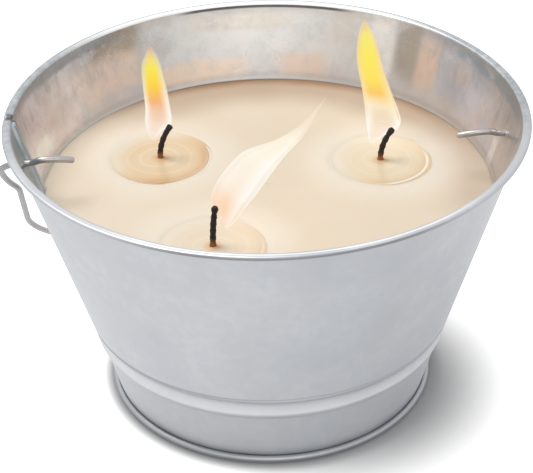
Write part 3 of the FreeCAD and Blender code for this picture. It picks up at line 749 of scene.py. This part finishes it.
def wax():
    """The poured wax: a polar grid for its top, closed by its side and foot."""
    columns, hub, gap, shoulder = 360, 0.3, 0.06, 84
    rings = np.concatenate([np.linspace(hub, shoulder, 150), np.linspace(shoulder + 0.4, 87.56, 14)])
    angle = full_turn(columns)
    top_radius = np.broadcast_to(rings[:, None], (len(rings), columns))
    x, y = top_radius * np.cos(angle), top_radius * np.sin(angle)
    top = np.stack([x, y, wax_level(x, y)], axis=-1)
    foot = DISC_Z + SHEET
    levels = np.concatenate([[WAX_Z - 0.1], wall_levels(4.4)[16:], [foot]])
    side_radius = np.append(wall_radius(levels) - SHEET - gap, hub)
    levels = np.append(levels, foot)
    x, y = side_radius[:, None] * np.cos(angle), side_radius[:, None] * np.sin(angle)
    side = np.stack([x, y, np.broadcast_to(levels[:, None], x.shape)], axis=-1)
    # The side stands back over the lock seam's width, which leaves room for it.
    off = np.abs((np.degrees(angle) - SEAM_MIDDLE + 180) % 360 - 180)
    back = 1.15 * np.clip((SEAM_SPAN / 2 + 0.7 - off) / 0.6, 0, 1)
    grid = np.concatenate([top, side])
    reach = np.hypot(grid[..., 0], grid[..., 1])
    limit = np.where(reach > 60, np.clip(1 - back[None, :] / np.maximum(reach, 1), 0, 1), 1)
    near = np.clip((reach - shoulder) / 3, 0, 1)
    near[len(rings):] = 1
    limit = 1 - (1 - limit) * near
    grid[..., :2] *= limit[..., None]
    piece_from_arrays("wax_body", grid, grid_faces(len(grid), columns, True, True),
                      WAX_FINISH, slot="wax", nodes=("wax_fill",))


def pool(side):
    """A dish of molten wax: its top draws up a little at the wick and at its rim, and its
    foot follows the dish. The rim's radius wavers by a few tenths round the pool."""
    foot = wick_foot(side)
    columns = 120
    angle = full_turn(columns)[None, :]
    share = np.concatenate([np.linspace(0.062, 0.9, 30), np.linspace(0.915, 1, 12)])[:, None]
    rim = POOL - 0.7 + 0.45 * np.sin(2 * angle + foot[0]) + 0.3 * np.sin(3 * angle + foot[1])
    d = share * rim
    x, y = foot[0] + d * np.cos(angle), foot[1] + d * np.sin(angle)
    top = WAX_Z - 0.35 + 0.5 * np.exp(-(d - WICK_RADIUS) / 0.9) + 0.30 * np.exp((d - rim) / 0.8)
    bed = WAX_Z - POOL_DEPTH * np.clip(1 - (d / POOL) ** 2, 0, 1) - 0.05
    top = np.maximum(top, bed + 0.02)
    grid = np.concatenate([np.stack([x, y, top], axis=-1), np.stack([x, y, bed], axis=-1)[::-1]])
    piece_from_arrays("pool_" + side, grid, grid_faces(len(grid), columns, True, True),
                      molten_wax(side), slot="molten_wax", nodes=("melt_pool_" + side,))


def wick(side):
    """The wick: upright in the wax, curling over its free length, knobbly with char and
    widest at its crumbling head."""
    _, rise, lean = WICKS[side]
    foot = wick_foot(side)
    curl = (lean ** 2 + rise ** 2) / (lean * 2)
    sweep = math.asin(min(1.0, rise / curl))
    bend = np.linspace(0, sweep, 34)
    low = DISC_Z + SHEET + 0.6
    x = np.concatenate([np.zeros(8), curl * (1 - np.cos(bend))])
    z = np.concatenate([np.linspace(low, WAX_Z - 3, 8), WAX_Z + curl * np.sin(bend)])
    line = np.stack([foot[0] + x, np.full(len(x), foot[1]), z], axis=1)
    along = np.clip((z - WAX_Z) / rise, 0, 1)
    knobs = 0.07 * np.sin(z * 2.1 + foot[0]) + 0.05 * np.sin(z * 4.7 + foot[1])
    size = WICK_RADIUS * (0.94 + knobs * (along > 0) + 0.16 * np.exp(-((along - 0.94) / 0.05) ** 2)
                          - 0.10 * np.exp(-((along - 0.80) / 0.07) ** 2))
    tube("wick_braid_" + side, line, (0, 1, 0), size, CHAR, round_count=18, rounding=0.35,
         slot="wick_braid", nodes=("wick_" + side,))


# Each flame: stations from its foot to its tip, each with the x and y of its left side, the
# x and y of its right side, the level of both, and half its depth.
FLAMES = {
    "left": [
        (-44.1, 33.5, -43.0, 31.7, 91.0, 1.0), (-45.2, 37.5, -39.6, 33.4, 93.0, 2.4),
        (-45.5, 40.4, -35.1, 36.5, 96.0, 3.2), (-45.2, 39.3, -35.3, 38.0, 102.5, 3.6),
        (-45.5, 39.7, -36.2, 37.7, 110.0, 3.6), (-45.8, 39.3, -37.3, 38.2, 116.5, 3.2),
        (-45.6, 39.9, -38.1, 38.9, 121.5, 2.6), (-44.0, 38.7, -39.7, 38.1, 126.2, 1.6),
        (-42.2, 36.1, -41.7, 36.0, 130.9, 0.3)],
    "right": [
        (42.7, 19.9, 43.6, 19.0, 91.0, 1.0), (42.4, 23.7, 49.4, 20.4, 93.0, 2.6),
        (42.5, 28.2, 55.2, 22.4, 96.0, 3.6), (42.3, 30.5, 54.3, 22.3, 102.5, 4.0),
        (41.1, 32.8, 52.1, 28.8, 109.5, 4.0), (40.2, 36.1, 50.2, 33.0, 115.0, 3.6),
        (40.0, 39.9, 49.1, 40.4, 120.2, 2.8), (41.2, 44.1, 47.4, 45.1, 126.0, 1.8),
        (44.3, 51.3, 44.7, 51.3, 130.9, 0.3)],
    "front": [
        (-20.6, -33.5, -18.5, -42.5, 94.0, 1.0), (-23.2, -27.6, -16.1, -43.3, 98.0, 2.6),
        (-20.8, -25.5, -12.7, -43.6, 103.5, 3.6), (-17.3, -25.5, -8.9, -43.7, 108.8, 4.0),
        (-11.0, -23.1, -4.2, -40.9, 114.0, 4.0), (-4.5, -26.3, 1.8, -36.3, 118.8, 3.2),
        (2.6, -29.4, 6.8, -34.4, 123.2, 2.4), (11.4, -26.5, 11.8, -31.0, 127.2, 1.4),
        (21.4, -13.1, 21.7, -13.6, 130.9, 0.3)],
}
# How each flame burns along its length, from 0 at its foot to 1 at its tip: the colour and
# the cover down its middle, and those down its sides.
FLAME_BURN = {
    "left": [
        (0.00, (1.0, 0.80, 0.68), 0.35, (1.0, 0.93, 0.86), 0.55),
        (0.14, (1.0, 0.74, 0.60), 0.40, (1.0, 0.95, 0.89), 0.92),
        (0.34, (1.0, 0.66, 0.48), 0.65, (1.0, 0.94, 0.84), 0.97),
        (0.44, (1.0, 0.46, 0.16), 0.92, (1.0, 0.90, 0.70), 0.95),
        (0.55, (1.0, 0.66, 0.05), 0.97, (1.0, 0.86, 0.50), 0.80),
        (0.72, (0.97, 0.84, 0.08), 0.95, (1.0, 0.88, 0.45), 0.50),
        (0.86, (1.0, 0.76, 0.22), 0.70, (1.0, 0.85, 0.60), 0.25),
        (0.93, (1.0, 0.50, 0.24), 0.50, (1.0, 0.70, 0.50), 0.15),
        (1.00, (1.0, 0.50, 0.25), 0.05, (1.0, 0.80, 0.60), 0.02)],
    "right": [
        (0.00, (1.0, 0.90, 0.82), 0.35, (1.0, 0.97, 0.92), 0.70),
        (0.14, (1.0, 0.76, 0.60), 0.20, (1.0, 0.97, 0.93), 0.98),
        (0.30, (1.0, 0.78, 0.58), 0.45, (1.0, 0.95, 0.82), 0.99),
        (0.39, (1.0, 0.86, 0.60), 0.92, (1.0, 0.88, 0.62), 0.98),
        (0.46, (1.0, 0.62, 0.14), 0.97, (1.0, 0.80, 0.42), 0.96),
        (0.56, (1.0, 0.78, 0.12), 0.98, (1.0, 0.76, 0.32), 0.92),
        (0.74, (0.97, 0.84, 0.13), 0.98, (1.0, 0.74, 0.26), 0.88),
        (0.88, (0.96, 0.84, 0.18), 0.92, (1.0, 0.76, 0.28), 0.70),
        (1.00, (1.0, 0.55, 0.22), 0.20, (1.0, 0.65, 0.30), 0.10)],
    "front": [
        (0.00, (1.0, 0.74, 0.54), 0.55, (1.0, 0.90, 0.80), 0.75),
        (0.14, (1.0, 0.62, 0.38), 0.85, (1.0, 0.88, 0.74), 0.94),
        (0.32, (1.0, 0.86, 0.72), 0.88, (1.0, 0.97, 0.92), 0.98),
        (0.55, (1.0, 0.93, 0.78), 0.97, (1.0, 0.98, 0.93), 0.98),
        (0.78, (1.0, 0.92, 0.74), 0.94, (1.0, 0.95, 0.84), 0.94),
        (0.92, (1.0, 0.80, 0.64), 0.60, (1.0, 0.86, 0.74), 0.60),
        (1.00, (1.0, 0.72, 0.55), 0.20, (1.0, 0.80, 0.66), 0.20)],
}


def smooth_rows(rows, count):
    """Stations eased through with a cubic that meets each one (Catmull-Rom)."""
    rows = np.asarray(rows, dtype=float)
    padded = np.concatenate([2 * rows[:1] - rows[1:2], rows, 2 * rows[-1:] - rows[-2:-1]])
    at = np.linspace(0, len(rows) - 1 - 1e-6, count)
    i = at.astype(int)
    f = (at - i)[:, None]
    a, b, c, d = padded[i], padded[i + 1], padded[i + 2], padded[i + 3]
    return 0.5 * (2 * b + (c - a) * f + (2 * a - 5 * b + 4 * c - d) * f ** 2 + (3 * b - a - 3 * c + d) * f ** 3)


def flame(side):
    """A flame's skin: at each eased station an ellipse, middle + (right - left) / 2 cos b +
    depth n sin b, with n square to the flame's sheet. The colour and the cover of a point
    run along the flame, and turn from its middle's to its sides' between two values of
    |cos b|. The cover fades over the last of the width. Both skins together give it."""
    count, round_count = 90, 72
    edge_start, edge_full, edge_power, fade, least = 0.35, 0.85, 1.4, 0.06, 0.12
    rows = smooth_rows(FLAMES[side], count)
    left = np.stack([rows[:, 0], rows[:, 1], rows[:, 4]], axis=1)
    right = np.stack([rows[:, 2], rows[:, 3], rows[:, 4]], axis=1)
    line, half = (left + right) / 2, (right - left) / 2
    run = np.gradient(line, axis=0)
    run /= np.linalg.norm(run, axis=1, keepdims=True)
    other = np.cross(run, half)
    other /= np.linalg.norm(other, axis=1, keepdims=True)
    b = full_turn(round_count)[None, :, None]
    points = (line[:, None, :] + half[:, None, :] * np.cos(b)
              + other[:, None, :] * np.sin(b) * np.maximum(rows[:, 5], 0.05)[:, None, None])
    piece = piece_from_arrays("flame_" + side, points, grid_faces(count, round_count, False, True),
                              flame_finish("flame_" + side), caps=end_caps(count, round_count))
    along = np.linspace(0, 1, count)[:, None]
    out = np.abs(np.cos(b[:, :, 0]))
    looks = np.array([(place, *middle, cover, *edge, edge_cover)
                      for place, middle, cover, edge, edge_cover in FLAME_BURN[side]]).T
    burn = np.stack([np.interp(along, looks[0], look) for look in looks[1:]], axis=-1)
    share = np.clip((out - edge_start) / (edge_full - edge_start), 0, 1)[..., None] ** edge_power
    burn = burn[..., :4] * (1 - share) + burn[..., 4:] * share
    cover = burn[..., 3] * np.clip((1.0 - out) / fade, least, 1)
    burn[..., 3] = 1 - np.sqrt(1 - cover)
    layer = piece.data.color_attributes.new("burn", "FLOAT_COLOR", "POINT")
    layer.data.foreach_set("color", burn.ravel())
    piece.visible_shadow = False


def hidden_fittings():
    """The wicks' metal feet and pads, unseen in the wax, get their own finishes."""
    tin = plain_finish("bright_tin", (0.62, 0.62, 0.62), 0.3, 1.0)
    foam = plain_finish("foam_pad", (0.85, 0.85, 0.82), 0.8)
    for side in WICKS:
        for node, finish in (("wick_tab_" + side, tin), ("wick_sticker_" + side, foam)):
            piece = bpy.data.objects[node]
            piece.data.materials.clear()
            piece.data.materials.append(finish)


# Studio

def floor():
    """A pale floor that carries the bucket's soft shadow, most of it on the right, with painted
    light over it: to the camera it glows white away from a point right of and in front of the
    middle and clear of the ring, so the shadow shows only near the foot, and in reflections it
    glows more faintly, more so farther out."""
    mesh = bpy.data.meshes.new("floor")
    mesh.from_pydata([(-3, -3, 0), (3, -3, 0), (3, 3, 0), (-3, 3, 0)], [], [(0, 1, 2, 3)])
    finish = Finish("pale_floor", Roughness=0.9)
    finish.shader.inputs["Base Color"].default_value = (0.55, 0.55, 0.55, 1)
    finish.shader.inputs["Specular IOR Level"].default_value = 0.0
    rays = finish.add("ShaderNodeLightPath").outputs
    # Painted light: the floor's own glow hides the shadow away from the foot.
    away = finish.distance((0.024, -0.014, 0))
    white = finish.product(finish.spread(away, 0.036, 0.084),
                           finish.spread(finish.distance((0, 0, 0)), 0.0645, 0.0715))
    mirrored = finish.product(rays["Is Glossy Ray"], finish.spread(away, 0.020, 0.084, 0.34, 0.64))
    seen = finish.math("ADD", finish.product(rays["Is Camera Ray"], white), mirrored)
    finish.shader.inputs["Emission Color"].default_value = (1, 1, 1, 1)
    finish.join(seen, "Emission Strength")
    mesh.materials.append(finish.material)
    piece = put("floor", mesh)


def backdrop(strength):
    """A white world where it is seen or mirrored, and a softer one where it lights."""
    world = bpy.data.worlds.new("studio")
    bpy.context.scene.world = world
    world.use_nodes = True
    tree = world.node_tree
    rays = tree.nodes.new("ShaderNodeLightPath").outputs
    seen = rays["Is Camera Ray"]
    for kind in ("Is Glossy Ray", "Is Transmission Ray"):
        either = tree.nodes.new("ShaderNodeMath")
        either.operation = "MAXIMUM"
        tree.links.new(seen, either.inputs[0])
        tree.links.new(rays[kind], either.inputs[1])
        seen = either.outputs[0]
    level = tree.nodes.new("ShaderNodeMapRange")
    tree.links.new(seen, level.inputs["Value"])
    level.inputs["To Min"].default_value = strength
    level.inputs["To Max"].default_value = 1.0
    sky = tree.nodes["Background"]
    sky.inputs["Color"].default_value = (1, 1, 1, 1)
    tree.links.new(level.outputs[0], sky.inputs["Strength"])


def lamp(name, place, size, power):
    """A soft square white lamp at a place, in metres, turned to the bucket's middle."""
    aim = Vector((0, 0, 0.06))
    data = bpy.data.lights.new(name, "AREA")
    data.size, data.energy = size, power
    piece = put(name, data)
    piece.location = place
    piece.rotation_euler = (aim - Vector(place)).to_track_quat("-Z", "Y").to_euler()


def camera():
    """The camera, placed in metres and turned by its yaw, its pitch and its roll."""
    x, y, z = -0.0534, -0.6107, 0.4560
    yaw, pitch, roll = math.radians(-4.912), math.radians(32.710), math.radians(-1.193)
    back = Vector((math.sin(yaw) * math.cos(pitch), -math.cos(yaw) * math.cos(pitch), math.sin(pitch)))
    right = Vector((math.cos(yaw), math.sin(yaw), 0))
    up = back.cross(right)
    level = right * math.cos(roll) + up * math.sin(roll)
    lifted = up * math.cos(roll) - right * math.sin(roll)
    data = bpy.data.cameras.new("camera")
    data.sensor_fit, data.sensor_width, data.lens = "HORIZONTAL", 36.0, 124.36
    data.clip_start, data.clip_end = 0.01, 20
    piece = put("camera", data)
    piece.matrix_world = Matrix((
        (level.x, lifted.x, back.x, x), (level.y, lifted.y, back.y, y),
        (level.z, lifted.z, back.z, z), (0, 0, 0, 1)))
    bpy.context.scene.camera = piece


bucket_wall()
lock_seam()
bucket_bottom()
bail()
wax()
for side in WICKS:
    pool(side)
    wick(side)
    flame(side)
hidden_fittings()
floor()
backdrop(strength=0.42)
lamp("key", place=(-0.42, 0.20, 1.15), size=0.60, power=8.0)
lamp("fill", place=(0.0, -1.1, 0.75), size=0.9, power=2.5)
camera()
bpy.context.scene.view_settings.view_transform = "Standard"
